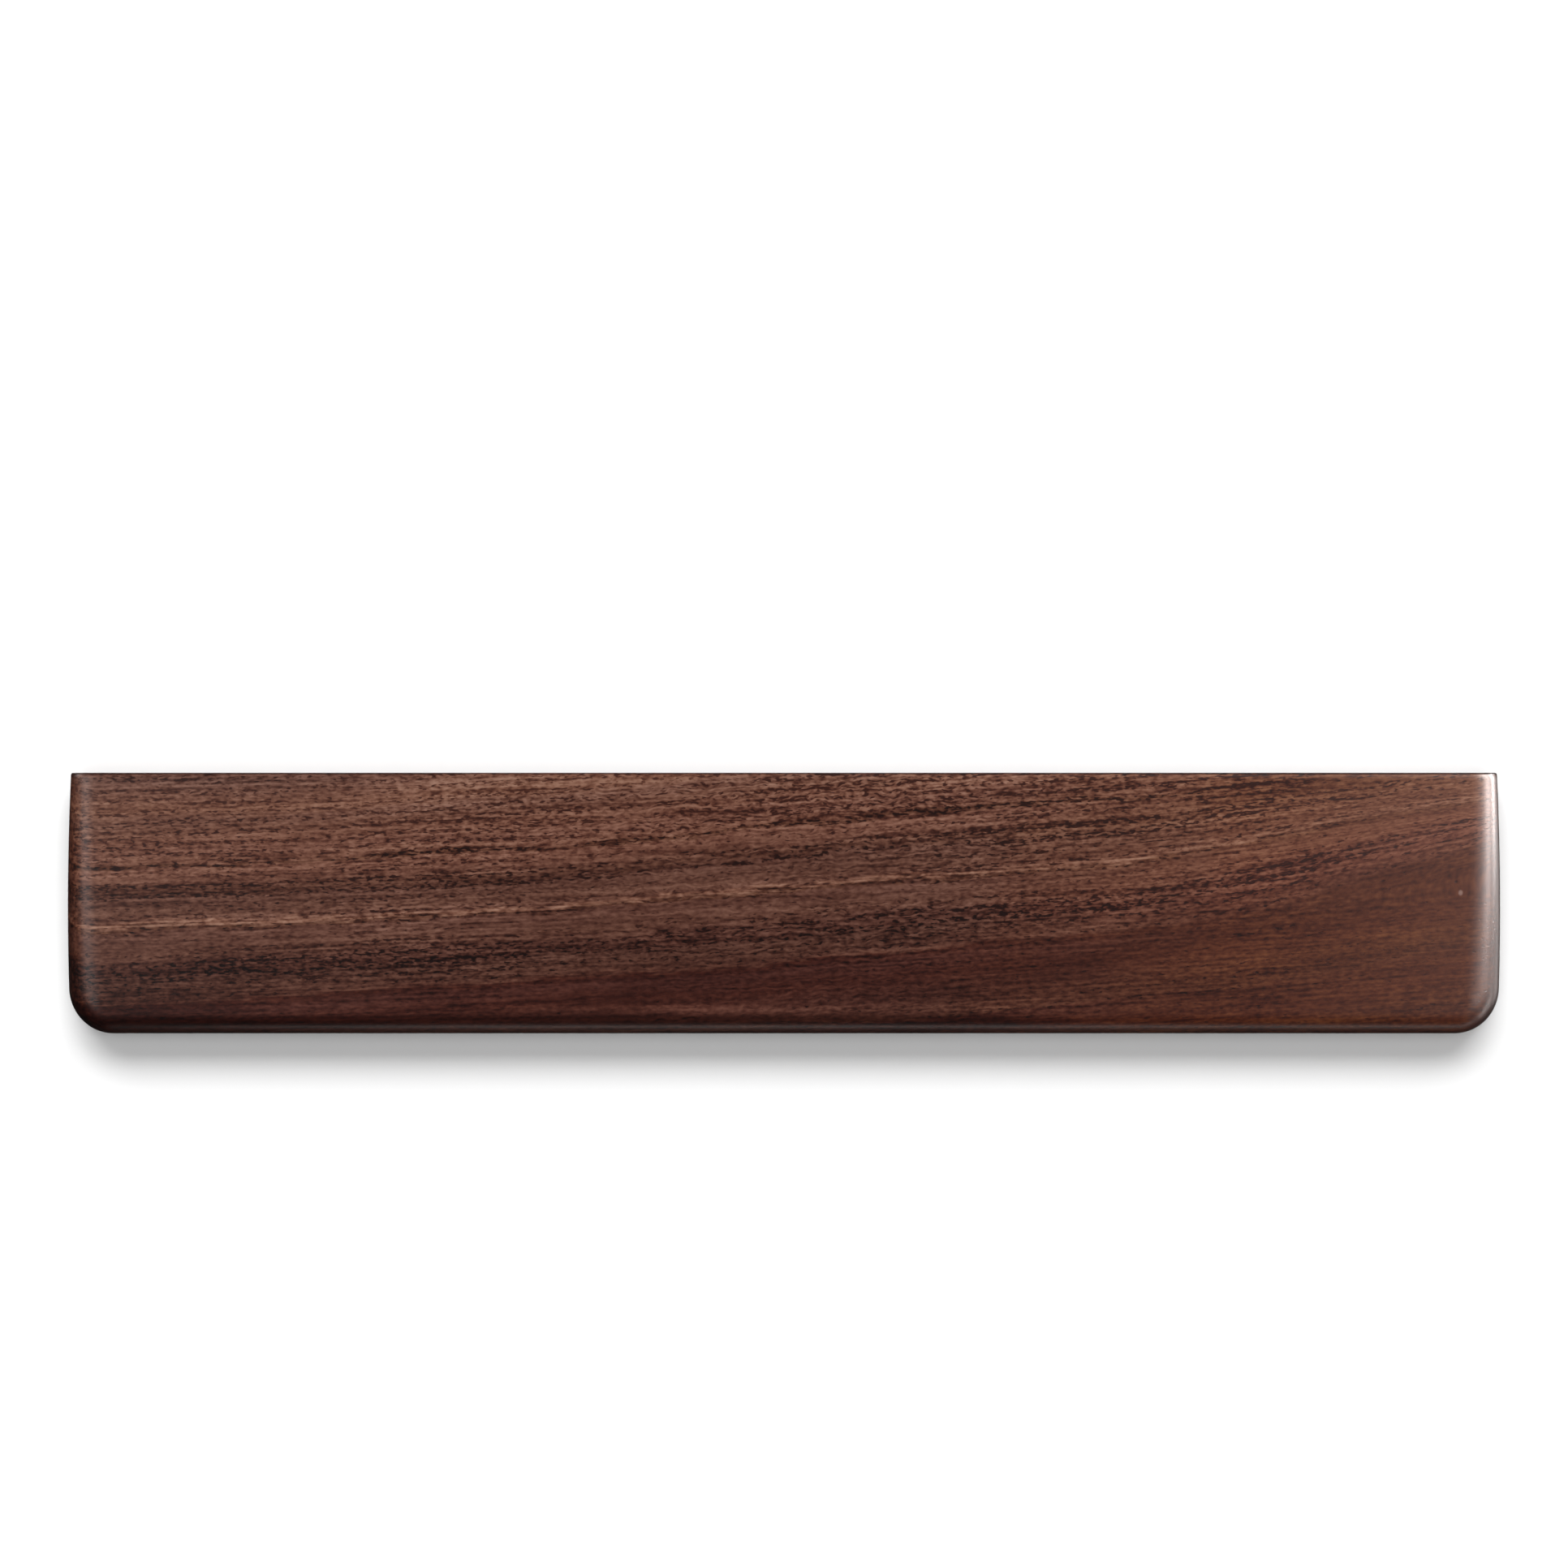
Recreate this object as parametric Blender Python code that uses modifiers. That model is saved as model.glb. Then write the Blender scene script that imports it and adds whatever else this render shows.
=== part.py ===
"""Wrist rest for a full-size keyboard: one solid walnut slab on six stick-on rubber feet.

Metres, +Z up. The origin is on the desk, under the middle of the slab. +X runs along the
slab to the typist's right, and +Y points away from the typist, at the keyboard.
"""

from math import asin, cos, pi, radians, sin

import bmesh
import bpy
from mathutils import Vector

# Overall size
LENGTH = 0.440
DEPTH = 0.080
BACK_HEIGHT = 0.020  # desk to the palm face, at the back edge
FRONT_DROP = 0.003  # how much lower the palm face's plane is at the front edge
FOOT_STANDS = 0.002  # the feet hold the slab this far above the desk

# Outline of the slab, seen from above
BACK_NARROWING = 0.0016  # each end is this much further in at the back corner
BELLY_Y = -0.013  # where the slab is longest
CORNER_RADIUS = 0.014  # the two front corners

# Shoulder: the rounding from the palm face down to the ends and the front. On the ends
# it grows from the back corners to the front ones, and along the front it is tighter.
END_SHOULDER_WIDTH_BACK = 0.0090
END_SHOULDER_WIDTH_FRONT = 0.0130
END_SHOULDER_FALL_BACK = 0.0060
END_SHOULDER_FALL_FRONT = 0.0100
FRONT_SHOULDER_WIDTH = 0.0070
FRONT_SHOULDER_FALL = 0.0070
SHOULDER_SOFTNESS = 2.5  # 2 is an ellipse; more meets the palm face more gently
BASE_RADIUS = 0.0025  # the rounding from the ends and the front to the underside
BACK_ARRIS = 0.0006  # the eased edge all round the back face

# Feet: each sits in a drilled recess, on a disc of double-sided adhesive
FOOT_RADIUS = 0.0060
FOOT_TAPER = 0.0004  # the foot is this much smaller in radius at the desk
FOOT_RIM = 0.0006
DIMPLE_RADIUS = 0.0022
DIMPLE_DEPTH = 0.0004
DISC_RADIUS = 0.0055
DISC_THICKNESS = 0.0004
RECESS_RADIUS = 0.0064
RECESS_DEPTH = 0.0020
TOUCH_GAP = 0.0003  # kept between pieces that touch
FOOT_FROM_END = 0.025
FOOT_FROM_EDGE = 0.013

# How finely the round shapes are cut
SIDE_STEPS = 8
CORNER_STEPS = 9
SHOULDER_STEPS = 8
BASE_STEPS = 3
ARRIS_STEPS = 2
TURNED_STEPS = 32
RIM_STEPS = 3
DIMPLE_STEPS = 2

ONE_POINT = 0.00001  # points nearer to each other than this are the same point
CREASE = radians(35)  # edges sharper than this aren't shaded smooth
SQUARE_EDGE = radians(60)  # edges sharper than this get the arris


def clear_scene():
    for obj in list(bpy.data.objects):
        bpy.data.objects.remove(obj)


def new_collection(name):
    collection = bpy.data.collections.new(name)
    bpy.context.scene.collection.children.link(collection)
    return collection


def new_material(name, colour, roughness, metallic=0.0):
    material = bpy.data.materials.new(name)
    material.use_nodes = True
    shader = material.node_tree.nodes["Principled BSDF"]
    shader.inputs["Base Color"].default_value = (*colour, 1.0)
    shader.inputs["Roughness"].default_value = roughness
    shader.inputs["Metallic"].default_value = metallic
    return material


def shade_round(mesh):
    mesh.shade_smooth()
    mesh.set_sharp_from_angle(angle=CREASE)


def palm_height(y):
    """Height of the palm face's plane, which slopes down towards the typist."""
    return BACK_HEIGHT - FRONT_DROP * (DEPTH / 2 - y) / DEPTH


def towards_front(back_value, front_value, y):
    return back_value + (front_value - back_value) * (DEPTH / 2 - y) / DEPTH


def half_outline():
    """(point, outward normal) round the right half, from the back corner to the middle of the front.

    The end is one long arc, widest at BELLY_Y, and the front corner is an arc tangent to it.
    """
    reach = DEPTH / 2 - BELLY_Y
    end_radius = (reach**2 + BACK_NARROWING**2) / (2 * BACK_NARROWING)
    end_centre = Vector((LENGTH / 2 - end_radius, BELLY_Y))
    between_centres = end_radius - CORNER_RADIUS
    corner_y = CORNER_RADIUS - DEPTH / 2
    back_angle = asin(reach / end_radius)
    tangent_angle = asin((corner_y - BELLY_Y) / between_centres)
    corner_centre = end_centre + between_centres * Vector((cos(tangent_angle), sin(tangent_angle)))

    outline = []

    def add_arc(centre, radius, start, stop, steps):
        for step in range(steps):
            angle = start + (stop - start) * step / steps
            normal = Vector((cos(angle), sin(angle)))
            outline.append((centre + radius * normal, normal))

    add_arc(end_centre, end_radius, back_angle, tangent_angle, SIDE_STEPS)
    add_arc(corner_centre, CORNER_RADIUS, tangent_angle, -pi / 2, CORNER_STEPS)
    front = Vector((0.0, -1.0))
    outline.append((corner_centre + CORNER_RADIUS * front, front))
    outline.append((Vector((0.0, -DEPTH / 2)), front))
    return outline


def inset_point(outline_point, normal, inset):
    """The outline's point moved in by inset. The ends of the outline stay in their own planes."""
    on_back = outline_point.y > DEPTH / 2 - ONE_POINT
    direction = Vector((1.0, 0.0)) if on_back else normal
    return outline_point - inset * direction


def base_ring(outline, angle):
    """A ring of the base rounding: angle 0 is at the wall and pi/2 is on the underside."""
    inset = BASE_RADIUS * (1 - cos(angle))
    height = FOOT_STANDS + BASE_RADIUS * (1 - sin(angle))
    return [(*inset_point(point, normal, inset), height) for point, normal in outline]


def shoulder_size(point, normal):
    """(width, fall) of the shoulder at a point of the outline.

    Round a front corner it changes from the end's size to the front's as the wall turns.
    """
    turned = normal.y**2
    width = towards_front(END_SHOULDER_WIDTH_BACK, END_SHOULDER_WIDTH_FRONT, point.y)
    fall = towards_front(END_SHOULDER_FALL_BACK, END_SHOULDER_FALL_FRONT, point.y)
    width += (FRONT_SHOULDER_WIDTH - width) * turned
    fall += (FRONT_SHOULDER_FALL - fall) * turned
    return width, fall


def shoulder_ring(outline, angle):
    """A ring of the shoulder: angle 0 is at the wall and pi/2 is on the palm face."""
    inset_share = 1 - max(cos(angle), 0.0) ** (2 / SHOULDER_SOFTNESS)
    fall_share = 1 - sin(angle)
    ring = []
    for point, normal in outline:
        width, fall = shoulder_size(point, normal)
        moved = inset_point(point, normal, inset_share * width)
        ring.append((*moved, palm_height(moved.y) - fall_share * fall))
    return ring


def half_slab_mesh():
    """The right half of the slab, open at X = 0, as a loft of rings from the underside up."""
    outline = half_outline()
    rings = [base_ring(outline, pi / 2 * step / BASE_STEPS) for step in range(BASE_STEPS, -1, -1)]
    rings += [shoulder_ring(outline, pi / 2 * step / SHOULDER_STEPS) for step in range(SHOULDER_STEPS + 1)]

    shape = bmesh.new()
    rows = [[shape.verts.new(point) for point in ring] for ring in rings]
    for lower, upper in zip(rows, rows[1:]):
        for i in range(len(lower) - 1):
            shape.faces.new((lower[i], lower[i + 1], upper[i + 1], upper[i]))
    back_low = shape.verts.new((0.0, DEPTH / 2, FOOT_STANDS))
    back_high = shape.verts.new((0.0, DEPTH / 2, BACK_HEIGHT))
    shape.faces.new([*rows[-1], back_high])
    shape.faces.new([*rows[0], back_low])
    shape.faces.new([*(row[0] for row in rows), back_high, back_low])
    bmesh.ops.recalc_face_normals(shape, faces=shape.faces)

    mesh = bpy.data.meshes.new("walnut_slab")
    shape.to_mesh(mesh)
    shape.free()
    shade_round(mesh)
    return mesh


def make_slab(collection, cutters, material):
    slab = bpy.data.objects.new("walnut_slab", half_slab_mesh())
    slab.data.materials.append(material)
    collection.objects.link(slab)

    mirror = slab.modifiers.new("both halves", "MIRROR")
    mirror.merge_threshold = ONE_POINT

    bevel = slab.modifiers.new("back arris", "BEVEL")
    bevel.limit_method = "ANGLE"
    bevel.angle_limit = SQUARE_EDGE
    bevel.width = BACK_ARRIS
    bevel.segments = ARRIS_STEPS

    drill = slab.modifiers.new("foot recesses", "BOOLEAN")
    drill.operation = "DIFFERENCE"
    drill.operand_type = "COLLECTION"
    drill.collection = cutters


def foot_places():
    """{name ending: (x, y)} of the six feet, three along the back and three along the front."""
    across = LENGTH / 2 - FOOT_FROM_END
    along = DEPTH / 2 - FOOT_FROM_EDGE
    return {
        f"{row}_{column}": (x, y)
        for row, y in (("back", along), ("front", -along))
        for column, x in (("left", -across), ("middle", 0.0), ("right", across))
    }


def foot_profile():
    """Half section of a foot as (radius, height) points, from the top of its axis round to the bottom."""
    top = FOOT_STANDS + RECESS_DEPTH - DISC_THICKNESS - 2 * TOUCH_GAP
    desk_radius = FOOT_RADIUS - FOOT_TAPER
    points = [(0.0, top), (FOOT_RADIUS, top)]
    for step in range(RIM_STEPS + 1):
        angle = pi / 2 * step / RIM_STEPS
        points.append((desk_radius - FOOT_RIM * (1 - cos(angle)), FOOT_RIM * (1 - sin(angle))))
    for step in range(DIMPLE_STEPS + 1):
        share = 1 - step / DIMPLE_STEPS
        points.append((DIMPLE_RADIUS * share, DIMPLE_DEPTH * (1 - share**2)))
    return points


def foot_profile_mesh():
    points = [(radius, 0.0, height) for radius, height in foot_profile()]
    edges = [(i, i + 1) for i in range(len(points) - 1)]
    mesh = bpy.data.meshes.new("rubber_foot")
    mesh.from_pydata(points, edges, [])
    return mesh


def make_feet(collection, material):
    profile = foot_profile_mesh()
    profile.materials.append(material)
    for place, (x, y) in foot_places().items():
        foot = bpy.data.objects.new(f"rubber_foot_{place}", profile)
        foot.location = (x, y, 0.0)
        collection.objects.link(foot)
        turn = foot.modifiers.new("turned", "SCREW")
        turn.steps = TURNED_STEPS
        turn.render_steps = TURNED_STEPS
        turn.use_merge_vertices = True
        turn.merge_threshold = ONE_POINT


def add_cylinder(name, collection, radius, low, high, place):
    bpy.ops.mesh.primitive_cylinder_add(
        vertices=TURNED_STEPS,
        radius=radius,
        depth=high - low,
        location=(*place, (low + high) / 2),
    )
    cylinder = bpy.context.object
    cylinder.name = name
    for owner in list(cylinder.users_collection):
        owner.objects.unlink(cylinder)
    collection.objects.link(cylinder)
    return cylinder


def make_adhesive_discs(collection, material):
    high = FOOT_STANDS + RECESS_DEPTH - TOUCH_GAP
    for place, centre in foot_places().items():
        name = f"adhesive_disc_{place}"
        disc = add_cylinder(name, collection, DISC_RADIUS, high - DISC_THICKNESS, high, centre)
        disc.data.materials.append(material)
        shade_round(disc.data)


def make_recess_cutters(cutters):
    for place, centre in foot_places().items():
        name = f"recess_cutter_{place}"
        cutter = add_cylinder(name, cutters, RECESS_RADIUS, 0.0, FOOT_STANDS + RECESS_DEPTH, centre)
        cutter.hide_render = True
        cutter.display_type = "WIRE"


def build():
    clear_scene()
    parts = new_collection("wrist_rest")
    cutters = new_collection("cutters")
    walnut = new_material("walnut", (0.117, 0.048, 0.033), 0.42)
    rubber = new_material("rubber", (0.012, 0.012, 0.013), 0.75)
    adhesive = new_material("adhesive", (0.62, 0.58, 0.50), 0.55)
    make_recess_cutters(cutters)
    make_slab(parts, cutters, walnut)
    make_feet(parts, rubber)
    make_adhesive_discs(parts, adhesive)


build()
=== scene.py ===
import math

import bmesh
import bpy
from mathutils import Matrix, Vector


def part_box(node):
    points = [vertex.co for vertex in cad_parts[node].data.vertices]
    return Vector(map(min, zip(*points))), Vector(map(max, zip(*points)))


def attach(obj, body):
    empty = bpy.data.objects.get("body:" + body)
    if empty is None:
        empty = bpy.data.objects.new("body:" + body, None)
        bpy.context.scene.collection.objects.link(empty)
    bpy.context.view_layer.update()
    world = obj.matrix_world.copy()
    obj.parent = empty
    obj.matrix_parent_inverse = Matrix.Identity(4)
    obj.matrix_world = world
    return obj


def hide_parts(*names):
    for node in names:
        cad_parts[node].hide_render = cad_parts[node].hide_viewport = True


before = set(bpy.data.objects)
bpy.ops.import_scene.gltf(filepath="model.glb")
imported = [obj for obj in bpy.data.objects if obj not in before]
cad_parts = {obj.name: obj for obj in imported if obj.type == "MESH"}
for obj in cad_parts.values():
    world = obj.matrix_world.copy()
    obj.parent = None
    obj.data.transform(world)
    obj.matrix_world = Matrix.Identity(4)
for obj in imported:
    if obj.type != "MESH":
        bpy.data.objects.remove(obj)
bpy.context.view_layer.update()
print("frame loaded:", len(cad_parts), "CAD nodes")


def feed(tree, socket, value):
    # a link if the value is another socket, else the socket's own value
    if isinstance(value, bpy.types.NodeSocket):
        tree.links.new(value, socket)
    else:
        socket.default_value = value


def addNode(tree, kind, feeds=None, **settings):
    node = tree.nodes.new("ShaderNode" + kind)
    for name, value in settings.items():
        setattr(node, name, value)
    for key, value in (feeds or {}).items():
        feed(tree, node.inputs[key], value)
    return node


def calc(tree, operation, *values, clamp=False):
    node = addNode(tree, "Math", operation=operation, use_clamp=clamp)
    for socket, value in zip(node.inputs, values):
        feed(tree, socket, value)
    return node.outputs[0]


def fade(tree, value, start, stop, low=0.0, high=1.0):
    # smooth step: low before start, high after stop
    feeds = {"Value": value, "From Min": start, "From Max": stop, "To Min": low, "To Max": high}
    return addNode(tree, "MapRange", feeds, interpolation_type="SMOOTHSTEP").outputs[0]


def stretched(tree, vector, size):
    # coordinates in cells of this size along X, Y and Z
    node = addNode(tree, "VectorMath", {0: vector}, operation="DIVIDE")
    feed(tree, node.inputs[1], size)
    return node.outputs[0]


def noise(tree, vector, size, detail=1.0, roughness=0.5):
    # even noise about zero, in cells of this size
    feeds = {"Vector": stretched(tree, vector, size), "Scale": 1.0, "Detail": detail, "Roughness": roughness}
    return calc(tree, "SUBTRACT", addNode(tree, "TexNoise", feeds).outputs["Fac"], 0.5)


def add(tree, total, value, amount=1.0):
    return calc(tree, "MULTIPLY_ADD", value, amount, total)


def hump(tree, value, rise, top, end, fall):
    # 0 before rise, 1 from top to end, 0 after fall
    return calc(tree, "MULTIPLY", fade(tree, value, rise, top), fade(tree, value, end, fall, 1.0, 0.0))


def paint(red, green, blue):
    # a mix in 0 to 255 as a paint chart gives it, as the linear colour that Blender wants
    return tuple(math.pow((c / 255 + 0.055) / 1.055, 2.4) for c in (red, green, blue)) + (1.0,)


def band(tree, value, stops, mixture=paint):
    # a paint or a plain number that changes along value, from stops of (place, paint or number)
    low, high = stops[0][0], stops[-1][0]
    node = addNode(tree, "ValToRGB", {0: addNode(tree, "MapRange", {0: value, 1: low, 2: high}).outputs[0]})
    elements = node.color_ramp.elements
    while len(elements) < len(stops):
        elements.new(0.5)
    for element, (place, level) in zip(elements, stops):
        element.position = (place - low) / (high - low)
    for element, (place, level) in zip(elements, stops):
        element.color = mixture(*level) if isinstance(level, tuple) else (level, level, level, 1.0)
    return node.outputs["Color"]


def mixColour(tree, factor, first, second, blend="MIX"):
    node = addNode(tree, "Mix", data_type="RGBA", blend_type=blend)
    feed(tree, node.inputs[0], factor)
    feed(tree, node.inputs[6], first)
    feed(tree, node.inputs[7], second)
    return node.outputs[2]


def newGroup(name, ins, outs):
    # ins: {socket name: starting value, or None for a vector}; outs: socket names and kinds
    tree = bpy.data.node_groups.new(name, "ShaderNodeTree")
    for socketName, value in ins.items():
        kind = "NodeSocketVector" if value is None else "NodeSocketFloat"
        socket = tree.interface.new_socket(socketName, in_out="INPUT", socket_type=kind)
        if value is not None:
            socket.default_value = value
    for socketName, kind in outs.items():
        tree.interface.new_socket(socketName, in_out="OUTPUT", socket_type="NodeSocket" + kind)
    start = tree.nodes.new("NodeGroupInput")
    end = tree.nodes.new("NodeGroupOutput")
    return tree, start.outputs, end.inputs


def placeGroup(tree, group, **feeds):
    node = tree.nodes.new("ShaderNodeGroup")
    node.node_tree = group
    for name, value in feeds.items():
        feed(tree, node.inputs[name], value)
    return node.outputs


def newMaterial(name):
    material = bpy.data.materials.new(name)
    material.use_nodes = True
    tree = material.node_tree
    return material, tree, tree.nodes["Principled BSDF"]


def millimetres(tree):
    # the piece's own coordinates, in millimetres
    place = addNode(tree, "TexCoord").outputs["Object"]
    node = addNode(tree, "VectorMath", {0: place}, operation="SCALE")
    node.inputs["Scale"].default_value = 1000.0
    return node.outputs[0]


def addBump(tree, shader, height, strength, distance):
    bump = addNode(tree, "Bump", {"Height": height, "Strength": strength, "Distance": distance})
    feed(tree, shader.inputs["Normal"], bump.outputs[0])


def newObject(name, mesh, material):
    piece = bpy.data.objects.new(name, mesh)
    mesh.materials.append(material)
    bpy.context.scene.collection.objects.link(piece)
    return piece


def applyModifiers(piece):
    # the piece keeps its finished mesh only
    finished = bpy.data.meshes.new_from_object(piece.evaluated_get(bpy.context.evaluated_depsgraph_get()))
    finished.name = piece.name
    piece.modifiers.clear()
    piece.data = finished


def makePatchyGroup():
    # slow uneven tone, from 0 to 1
    tree, ins, outs = newGroup("patchyTone", {"Vector": None, "Size": 20.0}, {"Tone": "Float"})
    cell = stretched(tree, ins["Vector"], ins["Size"])
    node = addNode(tree, "TexNoise", {"Vector": cell, "Scale": 1.0, "Detail": 3.0})
    feed(tree, outs["Tone"], fade(tree, node.outputs["Fac"], 0.3, 0.7))
    return tree


def makeDashGroup():
    # short dashes along X: open pores and flecks of fibre, depending on size and amount
    ins = {"Vector": None, "Length": 2.6, "Width": 1.0, "Amount": 0.5, "Softness": 0.12}
    tree, ins, outs = newGroup("grainDashes", ins, {"Dash": "Float"})
    size = addNode(tree, "CombineXYZ", {0: ins["Length"], 1: ins["Width"], 2: ins["Width"]}).outputs[0]
    cell = stretched(tree, ins["Vector"], size)
    strand = addNode(tree, "TexNoise", {"Vector": cell, "Scale": 1.0, "Detail": 1.0}).outputs["Fac"]
    start = calc(tree, "MULTIPLY_ADD", ins["Amount"], -0.3, 0.78)
    stop = calc(tree, "ADD", start, ins["Softness"])
    feed(tree, outs["Dash"], fade(tree, strand, start, stop))
    return tree


patchyTone = makePatchyGroup()
grainDashes = makeDashGroup()


walnutLook = {
    "finishDepth": 0.895,  # the share of the bare wood's lightness that the oil leaves
    "sheen": (0.0135, 0.019),  # the even sheen that the paints below already hold: left, right
    "ringCurve": (35.5, -0.0814, -0.0000831),  # mm from the back edge to the pale ring line, by powers of x
    "fanStart": 105.0,  # mm along X where the rings start to fan out to the back right corner
    "fanRise": 0.00125,
    "fanShare": (14.0, 22.0, 0.45),  # from the first ring to the second the fan falls to this share
    "fibreFan": (12.0, 26.0, 0.1),  # the same for the fibres
    "backFan": (3.0, 20.0, 0.3),  # mm from the back edge, and the share of the fan left before the first
    "curl": (-75.0, -35.0, 35.0, 75.0),  # mm along X where the fibres curl
    "curlHeight": 2.6,
    "curlCell": (6.5, 3.5, 3.5),
    "ringLean": 0.8,  # mm that the ring lines move to the front for each mm down into the board
    "slowWander": 6.0,
    "slowCell": (75, 26, 26),
    "quickWander": 2.2,
    "quickFibreWander": 0.7,
    "quickCell": (17, 7, 7),
    "feather": 3.2,  # mm that single fibres stray across the ring lines
    "featherCell": (11, 1.1, 1.1),
    "frontRing": (24.0, 44.0),  # beyond this the rings repeat
    "fibreFollow": 0.6,  # how far the fibres follow the ring lines, 0 to 1
    "paleEnd": (70.0, 210.0, 50.0),  # mm along X where the paler wood starts, is full, and strays
    "cloudSize": 45.0,
    "plainStrength": (0.8, 0.4),  # how strongly the grain shows: everywhere, and more in the clouds
    # streaks along the fibres: how strong, and the mm of one cell
    "longStreak": (0.8, (60, 0.95, 0.95)),
    "middleStreak": (0.55, (9, 0.8, 0.8)),
    "shortStreak": (1.15, (2.0, 0.85, 0.85)),
    "poreDepth": 0.42,
    "poreSize": (2.0, 0.6),
    "poreSoftness": 0.12,
    "poreCloud": 0.15,  # more pores in the clouds
    "toneSkew": 2.5,  # how much further the dark flecks go than the pale ones
    "darkest": -0.7,
    "poreRows": (3.3, 0.22, 0.30),  # mm from row to row, their part in the pores at the left and the right
    "poreRowsChange": (20.0, 90.0),
    "coarsePatch": (0.0, 45.0, 130.0, 175.0),  # mm along X
    "coarseFront": (-8.0, -3.0),  # it ends just behind the pale ring line
    "coarseGain": 0.4,
    "cloud": 0.30,
    "cloudCell": (60, 8, 8),
    "streakStray": (1.6, (45, 5, 5)),
    # streaks along the front edge: mm from the back edge, mm along X, tone
    "frontStreaks": (
        ((73.4, 74.8, 76.8, 78.2), (-260.0, -250.0, 60.0, 105.0), -0.24),
        ((70.2, 71.4, 72.4, 73.6), (-100.0, -75.0, 62.0, 80.0), 0.13),
        ((52.0, 72.0, 90.0, 91.0), (-260.0, -250.0, -195.0, -150.0), -0.14),
        ((-20.0, -10.0, 14.0, 30.0), (-260.0, -250.0, -150.0, -100.0), -0.06),
    ),
    "nick": ((206.6, 36.6), (0.8, 1.0)),  # its place along X and from the back edge, and its size
    "nickPaint": (190, 160, 150),
    "nickStrength": 0.22,
    # darker end grain, plus painted shade where the end shoulders turn away from the light
    "endGrainAndShade": 0.22,
    "endTurn": (0.35, 0.8),  # how far a surface faces an end before its darker end grain and painted shade show, and show fully
    # painted shade: how much darker the arris along the back edge is made
    "arrisShade": 0.6,
    "arrisTurn": ((0.15, 0.45, 0.93, 0.99), (0.05, 0.3)),  # how far the arris faces back, and up
    "roughness": 0.38,
    "poreRoughness": 0.02,
    "bumpStrength": 0.5,
    "bumpDistance": 0.00003,
}

# (mm past the pale ring line, paint), at the dark left end and the pale right end
darkEndBands = (
    (-46, (98, 67, 57)), (-41, (110, 74, 60)), (-36, (118, 80, 63)), (-33, (106, 71, 58)),
    (-30.5, (99, 64, 51)), (-27, (104, 67, 53)), (-23, (98, 62, 50)), (-20.6, (104, 67, 53)),
    (-19.7, (99, 63, 50)), (-19.1, (66, 40, 31)), (-18.4, (96, 61, 48)), (-17.6, (102, 65, 52)),
    (-14, (96, 61, 49)), (-11, (78, 49, 40)), (-8.5, (84, 54, 45)), (-4, (91, 59, 48)),
    (-1.9, (93, 60, 49)), (-0.7, (122, 83, 66)),
    (0.4, (73, 45, 36)), (1.6, (86, 55, 46)), (8, (86, 55, 45)), (10.5, (75, 47, 40)),
    (13, (65, 41, 36)), (15.5, (73, 47, 40)), (18, (77, 49, 41)), (20.6, (73, 46, 39)),
    (21.5, (82, 51, 42)), (22.6, (61, 36, 32)), (25, (66, 40, 36)), (30, (62, 37, 33)),
    (36, (67, 41, 36)), (44, (72, 45, 38)),
)
paleEndBands = (
    (-46, (96, 61, 48)), (-20, (100, 62, 47)), (-15, (97, 60, 45)), (-9, (103, 65, 50)),
    (-3, (102, 64, 50)), (-0.7, (112, 73, 57)), (0.7, (90, 56, 44)), (4, (102, 63, 49)),
    (8, (103, 63, 49)), (12, (96, 58, 47)), (16, (97, 58, 47)), (21, (92, 56, 45)),
    (22.5, (81, 49, 40)), (26, (78, 47, 38)), (32, (79, 47, 38)), (40, (81, 49, 39)),
    (44, (82, 50, 40)),
)

# (mm past the pale ring line, how strongly the grain shows)
grainStrength = (
    (-46, 1.0), (-17, 1.0), (-15, 0.75), (-12.5, 0.95), (-9, 0.95), (-6, 0.75), (-2.5, 1.0), (0, 1.1),
    (2.5, 0.75), (6, 0.7), (9.5, 0.95), (13, 1.1), (16, 0.95), (20, 0.8), (23.5, 0.62), (30, 0.52),
    (44, 0.65),
)
poreAmount = (
    (-46, 0.60), (-18, 0.70), (-15, 0.45), (-12, 0.75), (-9, 0.70), (-6, 0.50), (-1, 0.45), (5, 0.30),
    (9.5, 0.65), (13, 0.80), (16, 0.60), (20, 0.45), (23.5, 0.22), (30, 0.18), (44, 0.30),
)


def oiled(sheen):
    # the wood under the sheen, darkened by the oil
    def mixture(red, green, blue):
        seen = paint(red, green, blue)[:3]
        return tuple(max(c - sheen, 0.001) * walnutLook["finishDepth"] for c in seen) + (1.0,)

    return mixture


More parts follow.
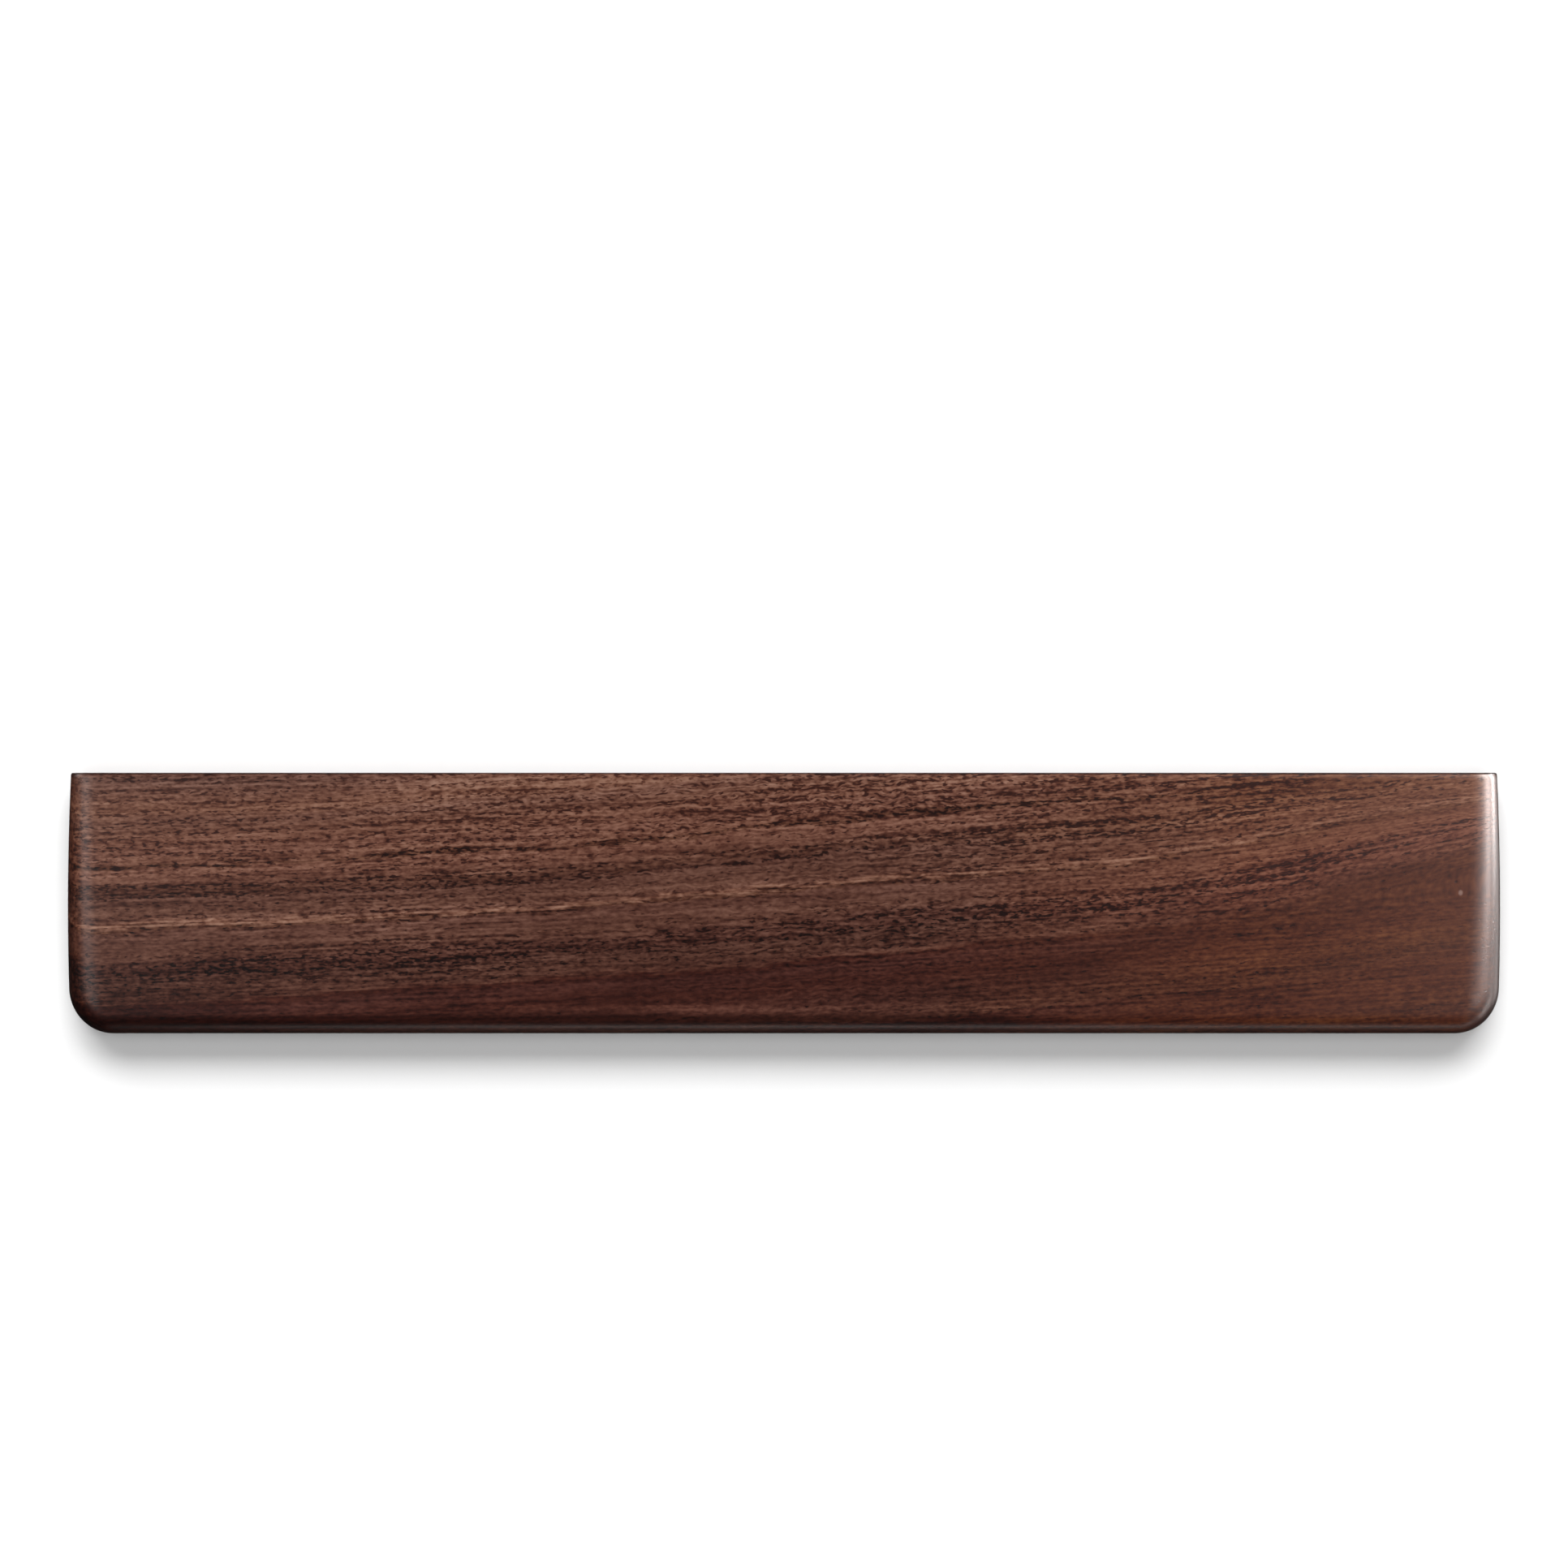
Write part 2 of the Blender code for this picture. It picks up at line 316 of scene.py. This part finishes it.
def makeRingGroup(slabBox):
    # Ring: mm past the pale ring line. Grain: coordinates that follow the fibres.
    look = walnutLook
    tree, ins, outs = newGroup("growthRings", {"Vector": None}, {"Ring": "Float", "Grain": "Vector"})
    backY, palmZ, palmSlope = slabBox
    x, y, z = addNode(tree, "SeparateXYZ", {0: ins["Vector"]}).outputs
    fromBack = calc(tree, "SUBTRACT", backY, y)
    start, slope, bend = look["ringCurve"]
    curve = calc(tree, "MULTIPLY", x, calc(tree, "MULTIPLY_ADD", x, bend, slope))
    beyond = calc(tree, "MAXIMUM", calc(tree, "SUBTRACT", x, look["fanStart"]), 0.0)
    fan = calc(tree, "MULTIPLY", calc(tree, "MULTIPLY", beyond, beyond), look["fanRise"])
    slow = noise(tree, ins["Vector"], look["slowCell"])
    quick = noise(tree, ins["Vector"], look["quickCell"])
    curl = noise(tree, ins["Vector"], look["curlCell"])
    curl = calc(tree, "MULTIPLY", curl, hump(tree, x, *look["curl"]))
    curl = calc(tree, "MULTIPLY", curl, look["curlHeight"])

    palm = calc(tree, "MULTIPLY_ADD", fromBack, -palmSlope, palmZ)
    under = calc(tree, "SUBTRACT", palm, z)
    flatRing = calc(tree, "SUBTRACT", calc(tree, "SUBTRACT", fromBack, start), curve)
    backFan, fullFan, share = look["backFan"]
    fan = calc(tree, "MULTIPLY", fan, fade(tree, fromBack, backFan, fullFan, share, 1.0))
    near, far, share = look["fibreFan"]
    fibreFan = calc(tree, "MULTIPLY", fan, fade(tree, flatRing, near, far, 1.0, share))
    across = add(tree, y, calc(tree, "SUBTRACT", curve, fibreFan), look["fibreFollow"])
    across = add(tree, add(tree, across, quick, look["quickFibreWander"]), curl)
    grain = addNode(tree, "CombineXYZ", {0: x, 1: across, 2: z}).outputs[0]
    feed(tree, outs["Grain"], grain)

    near, far, share = look["fanShare"]
    ring = add(tree, flatRing, calc(tree, "MULTIPLY", fan, fade(tree, flatRing, near, far, 1.0, share)))
    ring = add(tree, ring, under, look["ringLean"])
    ring = add(tree, ring, slow, look["slowWander"])
    ring = add(tree, ring, quick, look["quickWander"])
    ring = add(tree, add(tree, ring, curl), noise(tree, grain, look["featherCell"]), look["feather"])
    feed(tree, outs["Ring"], ring)
    return tree


def makeWalnut(slabBox):
    look = walnutLook
    material, tree, shader = newMaterial("walnut")
    place = millimetres(tree)
    rings = placeGroup(tree, makeRingGroup(slabBox), Vector=place)
    grain = rings["Grain"]
    nearRing, farRing = look["frontRing"]
    wrapped = calc(tree, "WRAP", rings["Ring"], farRing, nearRing)
    isFar = calc(tree, "GREATER_THAN", rings["Ring"], farRing)
    ring = addNode(tree, "Mix", {0: isFar, 2: rings["Ring"], 3: wrapped}).outputs[0]

    x, y, z = addNode(tree, "SeparateXYZ", {0: place}).outputs
    cloud = placeGroup(tree, patchyTone, Vector=place, Size=look["cloudSize"])["Tone"]
    start, full, stray = look["paleEnd"]
    paleShare = fade(tree, add(tree, x, cloud, stray), start, full)
    sheenLeft, sheenRight = look["sheen"]
    dark = band(tree, ring, darkEndBands, oiled(sheenLeft))
    colour = mixColour(tree, paleShare, dark, band(tree, ring, paleEndBands, oiled(sheenRight)))

    # tone: above zero the wood is paler, below zero darker and redder
    everywhere, inClouds = look["plainStrength"]
    strength = add(tree, everywhere, cloud, inClouds)
    strength = calc(tree, "MULTIPLY", band(tree, ring, grainStrength), strength)
    coarse = fade(tree, ring, *look["coarseFront"], 1.0, 0.0)
    coarse = calc(tree, "MULTIPLY", hump(tree, x, *look["coarsePatch"]), coarse)
    strength = add(tree, strength, coarse, look["coarseGain"])
    shortStreak, shortCell = look["shortStreak"]
    middleStreak, middleCell = look["middleStreak"]
    longStreak, longCell = look["longStreak"]
    middle = noise(tree, grain, middleCell)
    amount = add(tree, band(tree, ring, poreAmount), cloud, look["poreCloud"])
    rowStep, rowsLeft, rowsRight = look["poreRows"]
    rows = calc(tree, "SINE", calc(tree, "MULTIPLY", rings["Ring"], math.tau / rowStep))
    amount = add(tree, amount, rows, fade(tree, x, *look["poreRowsChange"], rowsLeft, rowsRight))
    length, width = look["poreSize"]
    pores = placeGroup(tree, grainDashes, Vector=grain, Length=length, Width=width, Amount=amount,
                       Softness=look["poreSoftness"])["Dash"]
    tone = calc(tree, "MULTIPLY", noise(tree, grain, shortCell, detail=1.5), shortStreak)
    tone = add(tree, tone, middle, middleStreak)
    tone = add(tree, tone, noise(tree, grain, longCell), longStreak)
    tone = add(tree, tone, pores, -look["poreDepth"])
    tone = calc(tree, "MULTIPLY", tone, strength)
    # the pale side is pressed together and the dark side pulled out
    skew = look["toneSkew"]
    pulled = calc(tree, "EXPONENT", calc(tree, "MULTIPLY", tone, -skew))
    tone = calc(tree, "MULTIPLY_ADD", pulled, -1 / skew, 1 / skew)
    tone = calc(tree, "MAXIMUM", tone, look["darkest"])
    tone = add(tree, tone, noise(tree, grain, look["cloudCell"], detail=2.0), look["cloud"])
    fromBack = calc(tree, "SUBTRACT", slabBox[0], y)
    stray, strayCell = look["streakStray"]
    strayed = add(tree, fromBack, noise(tree, grain, strayCell, detail=2.0), stray)
    for depths, lengths, change in look["frontStreaks"]:
        streak = calc(tree, "MULTIPLY", hump(tree, strayed, *depths), hump(tree, x, *lengths))
        tone = add(tree, tone, streak, change)

    # the ends show darker end grain plus painted shade on their shoulders, and the arris along the back edge
    # is darkened with painted shade
    facing = addNode(tree, "SeparateXYZ", {0: addNode(tree, "TexCoord").outputs["Normal"]}).outputs
    endGrainShade = fade(tree, calc(tree, "ABSOLUTE", facing[0]), *look["endTurn"])
    tone = add(tree, tone, endGrainShade, -look["endGrainAndShade"])
    backward, upward = look["arrisTurn"]
    arris = calc(tree, "MULTIPLY", hump(tree, facing[1], *backward), fade(tree, facing[2], *upward))
    tone = add(tree, tone, arris, -look["arrisShade"])
    colour = addNode(tree, "Gamma", {0: colour, 1: calc(tree, "SUBTRACT", 1.0, tone)}).outputs[0]
    (nickX, nickDepth), (nickWide, nickDeep) = look["nick"]
    offX = calc(tree, "DIVIDE", calc(tree, "SUBTRACT", x, nickX), nickWide)
    offDepth = calc(tree, "DIVIDE", calc(tree, "SUBTRACT", fromBack, nickDepth), nickDeep)
    off = calc(tree, "ADD", calc(tree, "MULTIPLY", offX, offX), calc(tree, "MULTIPLY", offDepth, offDepth))
    nick = fade(tree, off, 0.0, 1.2, look["nickStrength"], 0.0)
    nick = calc(tree, "MULTIPLY", nick, fade(tree, facing[2], 0.3, 0.8))  # on the palm face only
    colour = mixColour(tree, nick, colour, paint(*look["nickPaint"]))
    feed(tree, shader.inputs["Base Color"], colour)

    feed(tree, shader.inputs["Roughness"], add(tree, look["roughness"], pores, look["poreRoughness"]))
    height = add(tree, middle, pores, -1.0)
    addBump(tree, shader, height, look["bumpStrength"], look["bumpDistance"])
    return material


slabShape = {
    "frontDrop": 0.003,  # how much lower the palm face is at the front edge
    "backNarrowing": 0.0016,
    "bellyY": -0.013,
    "cornerRadius": 0.014,
    "endShoulderWidth": (0.0090, 0.0130),  # at the back edge, at the front edge
    "endShoulderFall": (0.0060, 0.0100),
    "frontShoulder": (0.0070, 0.0070),  # width, fall
    "shoulderSoftness": 2.5,
    "baseRadius": 0.0025,
    "arris": 0.0006,
    "recessRadius": 0.0064,  # drilled for the feet
    "recessDepth": 0.0020,
    "recessSides": 64,
    "endSteps": 40,
    "cornerSteps": 24,
    "shoulderSteps": 22,
    "baseSteps": 8,
    "columns": 110,
}

slabLow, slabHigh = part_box("walnut_slab")
halfLength = (slabHigh.x - slabLow.x) / 2
backY = slabHigh.y
frontY = slabLow.y
slabDepth = backY - frontY
palmSlope = slabShape["frontDrop"] / slabDepth


def palmHeight(y):
    return slabHigh.z - palmSlope * (backY - y)


def endOutline():
    # (point, outward normal) round the right end, from the back corner to the front edge
    shape = slabShape
    reach = backY - shape["bellyY"]
    narrowing = shape["backNarrowing"]
    radius = (reach**2 + narrowing**2) / (2 * narrowing)
    centre = Vector((halfLength - radius, shape["bellyY"]))
    corner = shape["cornerRadius"]
    backAngle = math.asin(reach / radius)
    meetAngle = math.asin((frontY + corner - shape["bellyY"]) / (radius - corner))
    cornerCentre = centre + (radius - corner) * Vector((math.cos(meetAngle), math.sin(meetAngle)))
    outline = []
    for arcCentre, arcRadius, start, stop, steps in (
        (centre, radius, backAngle, meetAngle, shape["endSteps"]),
        (cornerCentre, corner, meetAngle, -math.pi / 2, shape["cornerSteps"]),
    ):
        for step in range(steps):
            angle = start + (stop - start) * step / steps
            normal = Vector((math.cos(angle), math.sin(angle)))
            outline.append((arcCentre + arcRadius * normal, normal))
    down = Vector((0.0, -1.0))
    outline.append((cornerCentre + corner * down, down))
    return outline


def shoulderSize(point, normal):
    # (width, fall): round a front corner it changes from the end's size to the front's
    fromBack = (backY - point.y) / slabDepth
    frontShare = normal.y**2
    sizes = []
    for name, frontSize in zip(("endShoulderWidth", "endShoulderFall"), slabShape["frontShoulder"]):
        atBack, atFront = slabShape[name]
        size = atBack + (atFront - atBack) * fromBack
        sizes.append(size + (frontSize - size) * frontShare)
    return sizes


def endRing(outline, insetAndHeight):
    # the right end's points moved in, with the back corner staying in the back face
    ring = []
    for number, (point, normal) in enumerate(outline):
        inset, height = insetAndHeight(point, normal)
        moved = point - inset * (Vector((1.0, 0.0)) if number == 0 else normal)
        ring.append(Vector((moved.x, moved.y, height(moved.y))))
    return ring


def slabRings():
    # from the underside up to the palm face
    outline = endOutline()
    baseRadius = slabShape["baseRadius"]
    baseSteps = slabShape["baseSteps"]
    shoulderSteps = slabShape["shoulderSteps"]

    def baseAt(angle):
        inset = baseRadius * (1 - math.cos(angle))
        height = slabLow.z + baseRadius * (1 - math.sin(angle))
        return lambda point, normal: (inset, lambda y: height)

    def shoulderAt(angle):
        insetShare = 1 - max(math.cos(angle), 0.0) ** (2 / slabShape["shoulderSoftness"])
        fallShare = 1 - math.sin(angle)

        def insetAndHeight(point, normal):
            width, fall = shoulderSize(point, normal)
            return insetShare * width, lambda y: palmHeight(y) - fallShare * fall

        return insetAndHeight

    quarterTurn = math.pi / 2
    shapes = [baseAt(quarterTurn * step / baseSteps) for step in range(baseSteps, -1, -1)]
    shapes += [shoulderAt(quarterTurn * step / shoulderSteps) for step in range(shoulderSteps + 1)]
    return [endRing(outline, insetAndHeight) for insetAndHeight in shapes]


def makeSlabMesh():
    # ends, front and corners are one loft of rings, with the other faces as strips between them
    rings = slabRings()
    columns = slabShape["columns"]
    across = [1 - 2 * column / columns for column in range(columns + 1)]  # right to left
    shape = bmesh.new()

    def addRow(points):
        return [shape.verts.new(point) for point in points]

    def addStrips(rowA, rowB):
        for a, b, c, d in zip(rowA, rowA[1:], rowB[1:], rowB):
            shape.faces.new((a, b, c, d))

    def mirrored(points):
        return [Vector((-point.x, point.y, point.z)) for point in points]

    loft = []
    for ring in rings:
        front = ring[-1]
        frontPoints = [Vector((front.x * share, front.y, front.z)) for share in across[1:-1]]
        loft.append(addRow(ring + frontPoints + mirrored(ring)[::-1]))
    for low, high in zip(loft, loft[1:]):
        addStrips(low, high)

    count = len(rings[0])
    flats = []
    for ring, row in ((rings[0], loft[0]), (rings[-1], loft[-1])):
        previous = None
        for number, point in enumerate(ring):
            if number < count - 1:
                middle = addRow(Vector((point.x * share, point.y, point.z)) for share in across[1:-1])
                line = [row[number]] + middle + [row[-1 - number]]
            else:
                line = row[count - 1:len(row) - count + 1]
            if previous:
                addStrips(previous, line)
            else:
                flats.append(line)
            previous = line

    under, palm = flats
    addStrips(under[1:-1], palm[1:-1])
    shape.faces.new([row[0] for row in loft] + [palm[1], under[1]])
    shape.faces.new([row[-1] for row in loft] + [palm[-2], under[-2]])
    bmesh.ops.recalc_face_normals(shape, faces=shape.faces)
    mesh = bpy.data.meshes.new("slab")
    shape.to_mesh(mesh)
    shape.free()
    mesh.shade_smooth()
    return mesh


def makeSlab(material):
    # the arris goes round the back face, and the recesses are cut afterwards
    slab = newObject("slab", makeSlabMesh(), material)
    bevel = slab.modifiers.new("arris", "BEVEL")
    bevel.limit_method = "ANGLE"
    bevel.angle_limit = math.radians(60)
    bevel.width = slabShape["arris"]
    bevel.segments = 3
    bevel.harden_normals = True

    radius = slabShape["recessRadius"]
    drill = bmesh.new()
    for name in footNames:
        low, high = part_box("rubber_foot_" + name)
        made = bmesh.ops.create_cone(drill, cap_ends=True, segments=slabShape["recessSides"], radius1=radius,
                                     radius2=radius, depth=2 * slabShape["recessDepth"])
        middle = ((low.x + high.x) / 2, (low.y + high.y) / 2, slabLow.z)
        bmesh.ops.translate(drill, verts=made["verts"], vec=middle)
    cutterMesh = bpy.data.meshes.new("recessCutter")
    drill.to_mesh(cutterMesh)
    drill.free()
    cutter = bpy.data.objects.new("recessCutter", cutterMesh)
    bpy.context.scene.collection.objects.link(cutter)
    cut = slab.modifiers.new("recesses", "BOOLEAN")
    cut.operation = "DIFFERENCE"
    cut.object = cutter
    applyModifiers(slab)
    bpy.data.objects.remove(cutter)
    slab.data.set_sharp_from_angle(angle=math.radians(50))
    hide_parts("walnut_slab")
    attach(slab, "root")
    return slab


footNames = [row + "_" + column for row in ("back", "front") for column in ("left", "middle", "right")]

footShape = {
    "taper": 0.0004,
    "rim": 0.0007,
    "topRim": 0.0002,
    "dimpleRadius": 0.0022,
    "dimpleDepth": 0.0004,
    "dimpleSteps": 6,
    "steps": 72,
}
discShape = {"bulge": 0.00008, "steps": 64}


def turned(name, profile, steps, centre, material):
    # profile: (radius, height) from the top of the axis round to the bottom
    mesh = bpy.data.meshes.new(name)
    mesh.from_pydata([(radius, 0.0, height) for radius, height in profile],
                     [(i, i + 1) for i in range(len(profile) - 1)], [])
    piece = newObject(name, mesh, material)
    piece.location = (centre.x, centre.y, 0.0)
    screw = piece.modifiers.new("turned", "SCREW")
    screw.steps = steps
    screw.render_steps = steps
    screw.use_merge_vertices = True
    screw.merge_threshold = 0.00001
    applyModifiers(piece)
    piece.data.shade_smooth()
    piece.data.set_sharp_from_angle(angle=math.radians(50))
    return piece


def arc(centre, height, radius, start, stop, steps=6):
    # points of an arc in the half section, angles from straight out
    angles = [math.radians(start + (stop - start) * step / steps) for step in range(steps + 1)]
    return [(centre + radius * math.cos(angle), height + radius * math.sin(angle)) for angle in angles]


def makeFoot(name, material):
    shape = footShape
    low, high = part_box("rubber_foot_" + name)
    centre = (low + high) / 2
    radius = (high.x - low.x) / 2
    rim = shape["rim"]
    topRim = shape["topRim"]
    profile = [(0.0, high.z)]
    profile += arc(radius - topRim, high.z - topRim, topRim, 90, 0, 3)
    profile += arc(radius - shape["taper"] - rim, low.z + rim, rim, 0, -90)
    for step in range(shape["dimpleSteps"] + 1):
        share = 1 - step / shape["dimpleSteps"]
        profile.append((shape["dimpleRadius"] * share, low.z + shape["dimpleDepth"] * (1 - share**2)))
    foot = turned("foot_" + name, profile, shape["steps"], centre, material)
    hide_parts("rubber_foot_" + name)
    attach(foot, "root")


def makeDisc(name, material):
    low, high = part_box("adhesive_disc_" + name)
    centre = (low + high) / 2
    radius = (high.x - low.x) / 2
    bulge = discShape["bulge"]
    side = (high.z - low.z) / 5
    profile = [(0.0, high.z), (radius - bulge, high.z)]
    profile += [(radius, centre.z + side), (radius, centre.z - side)]
    profile += [(radius - bulge, low.z), (0.0, low.z)]
    disc = turned("disc_" + name, profile, discShape["steps"], centre, material)
    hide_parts("adhesive_disc_" + name)
    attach(disc, "root")


rubberLook = {
    "patches": 3.0,
    "grains": 0.12,
    "paints": ((24, 24, 25), (33, 33, 34)),
    "roughness": (0.66, 0.12),  # least, and more in the patches
    "bump": (0.5, 0.00002),
}


def makeRubber():
    look = rubberLook
    material, tree, shader = newMaterial("footRubber")
    place = millimetres(tree)
    patchy = placeGroup(tree, patchyTone, Vector=place, Size=look["patches"])["Tone"]
    grainy = placeGroup(tree, patchyTone, Vector=place, Size=look["grains"])["Tone"]
    first, second = look["paints"]
    feed(tree, shader.inputs["Base Color"], mixColour(tree, patchy, paint(*first), paint(*second)))
    least, more = look["roughness"]
    feed(tree, shader.inputs["Roughness"], calc(tree, "MULTIPLY_ADD", patchy, more, least))
    addBump(tree, shader, grainy, *look["bump"])
    return material


adhesiveLook = {
    "patches": 1.5,
    "cells": 0.15,
    "paints": ((204, 196, 180), (214, 208, 196)),
    "roughness": (0.5, 0.2),  # least, and more in the cells
    "bump": (0.6, 0.00003),
}


def makeAdhesive():
    look = adhesiveLook
    material, tree, shader = newMaterial("adhesiveFoam")
    place = millimetres(tree)
    patchy = placeGroup(tree, patchyTone, Vector=place, Size=look["patches"])["Tone"]
    cells = placeGroup(tree, patchyTone, Vector=place, Size=look["cells"])["Tone"]
    first, second = look["paints"]
    feed(tree, shader.inputs["Base Color"], mixColour(tree, patchy, paint(*first), paint(*second)))
    least, more = look["roughness"]
    feed(tree, shader.inputs["Roughness"], calc(tree, "MULTIPLY_ADD", cells, more, least))
    addBump(tree, shader, cells, *look["bump"])
    return material


overhead = {"lens": 100.0, "sensorWidth": 36.0, "place": (0.0, 0.0369, 1.3486)}


def makeCamera():
    camera = bpy.data.cameras.new("camera")
    camera.lens = overhead["lens"]
    camera.sensor_width = overhead["sensorWidth"]
    eye = bpy.data.objects.new("camera", camera)
    eye.location = overhead["place"]
    bpy.context.scene.collection.objects.link(eye)
    bpy.context.scene.camera = eye


studio = {
    "ambient": 0.155,
    "glossyAmbient": 0.02,
    "floorPaint": (0.82, 0.82, 0.82, 1.0),
    "floorHalf": 6.0,
    # suns: degrees round from straight behind, degrees up, strength, how wide it is in degrees
    "suns": {
        "keyLeft": (19.0, 43.0, 1.93, 32.0),
        "keyRight": (-19.0, 43.0, 1.93, 32.0),
        "fill": (180.0, 86.0, 1.25, 50.0),
    },
    # softboxes that show in reflections only: place, target, size, power, colour
    "softboxes": {
        "rightLow": ((0.50, 0.10, 0.020), (0.21, 0.03, 0.012), (0.17, 0.03), 3.3, (1.0, 0.92, 0.89)),
        "rightMiddle": ((0.50, 0.07, 0.21), (0.21, 0.0, 0.012), (0.16, 0.12), 2.9, (1.0, 0.92, 0.89)),
        "rightHigh": ((0.50, 0.02, 0.40), (0.21, 0.0, 0.012), (0.30, 0.20), 0.6, (1.0, 0.95, 0.93)),
        "rightTop": ((0.36, 0.0, 0.42), (0.21, 0.0, 0.012), (0.20, 0.10), 0.08, (1.0, 0.95, 0.93)),
        "left": ((-0.62, 0.05, 0.60), (-0.2, 0.0, 0.012), (0.40, 0.34), 1.5, (1.0, 1.0, 1.0)),
        "leftLow": ((-0.48, 0.18, 0.10), (-0.21, 0.03, 0.012), (0.16, 0.08), 0.3, (1.0, 1.0, 1.0)),
        "rightFront": ((0.46, -0.13, 0.020), (0.21, -0.035, 0.012), (0.12, 0.04), 0.22, (1.0, 0.92, 0.89)),
        "rightUnder": ((0.42, -0.01, -0.09), (0.215, -0.01, 0.008), (0.16, 0.05), 0.13, (1.0, 0.92, 0.89)),
        "front": ((0.15, -0.45, 0.05), (0.05, -0.04, 0.012), (0.80, 0.06), 0.5, (1.0, 0.95, 0.93)),
    },
}


def placeLamp(name, kind, place, target):
    light = bpy.data.lights.new(name, kind)
    lamp = bpy.data.objects.new(name, light)
    lamp.location = place
    lamp.rotation_mode = "QUATERNION"
    lamp.rotation_quaternion = (Vector(target) - lamp.location).to_track_quat("-Z", "Y")
    bpy.context.scene.collection.objects.link(lamp)
    return lamp, light


def makeFloor():
    half = studio["floorHalf"]
    mesh = bpy.data.meshes.new("floor")
    corners = [(-half, -half, 0), (half, -half, 0), (half, half, 0), (-half, half, 0)]
    mesh.from_pydata(corners, [], [(0, 1, 2, 3)])
    material, tree, shader = newMaterial("floor")
    shader.inputs["Base Color"].default_value = studio["floorPaint"]
    shader.inputs["Roughness"].default_value = 1.0
    shader.inputs["Specular IOR Level"].default_value = 0.0
    floor = newObject("floor", mesh, material)
    floor.visible_glossy = False
    floor.visible_shadow = False


def makeWorld():
    world = bpy.data.worlds.new("studio")
    bpy.context.scene.world = world
    world.use_nodes = True
    tree = world.node_tree
    path = addNode(tree, "LightPath").outputs
    dimmer = studio["glossyAmbient"] - studio["ambient"]
    strength = add(tree, studio["ambient"], path["Is Glossy Ray"], dimmer)
    strength = add(tree, strength, path["Is Camera Ray"], 1.0)
    background = tree.nodes["Background"]
    background.inputs["Color"].default_value = (1.0, 1.0, 1.0, 1.0)
    feed(tree, background.inputs["Strength"], strength)


def makeLamps():
    for name, (turn, rise, strength, width) in studio["suns"].items():
        level = math.cos(math.radians(rise))
        across = -level * math.sin(math.radians(turn))
        behind = level * math.cos(math.radians(turn))
        lamp, light = placeLamp(name, "SUN", (across, behind, math.sin(math.radians(rise))), (0.0, 0.0, 0.0))
        light.energy = strength
        light.angle = math.radians(width)
        lamp.visible_glossy = False
    for name, (place, target, size, power, colour) in studio["softboxes"].items():
        lamp, light = placeLamp(name, "AREA", place, target)
        light.shape = "RECTANGLE"
        light.size, light.size_y = size
        light.energy = power
        light.color = colour
        lamp.visible_diffuse = False
        lamp.visible_camera = False


makeCamera()
walnut = makeWalnut((backY * 1000, slabHigh.z * 1000, palmSlope))
print("walnut ready")
makeSlab(walnut)
print("slab built")
rubber = makeRubber()
adhesive = makeAdhesive()
for footName in footNames:
    makeFoot(footName, rubber)
    makeDisc(footName, adhesive)
print("feet and adhesive built")
makeFloor()
makeWorld()
makeLamps()
bpy.context.scene.view_settings.view_transform = "Standard"
print("studio lit")
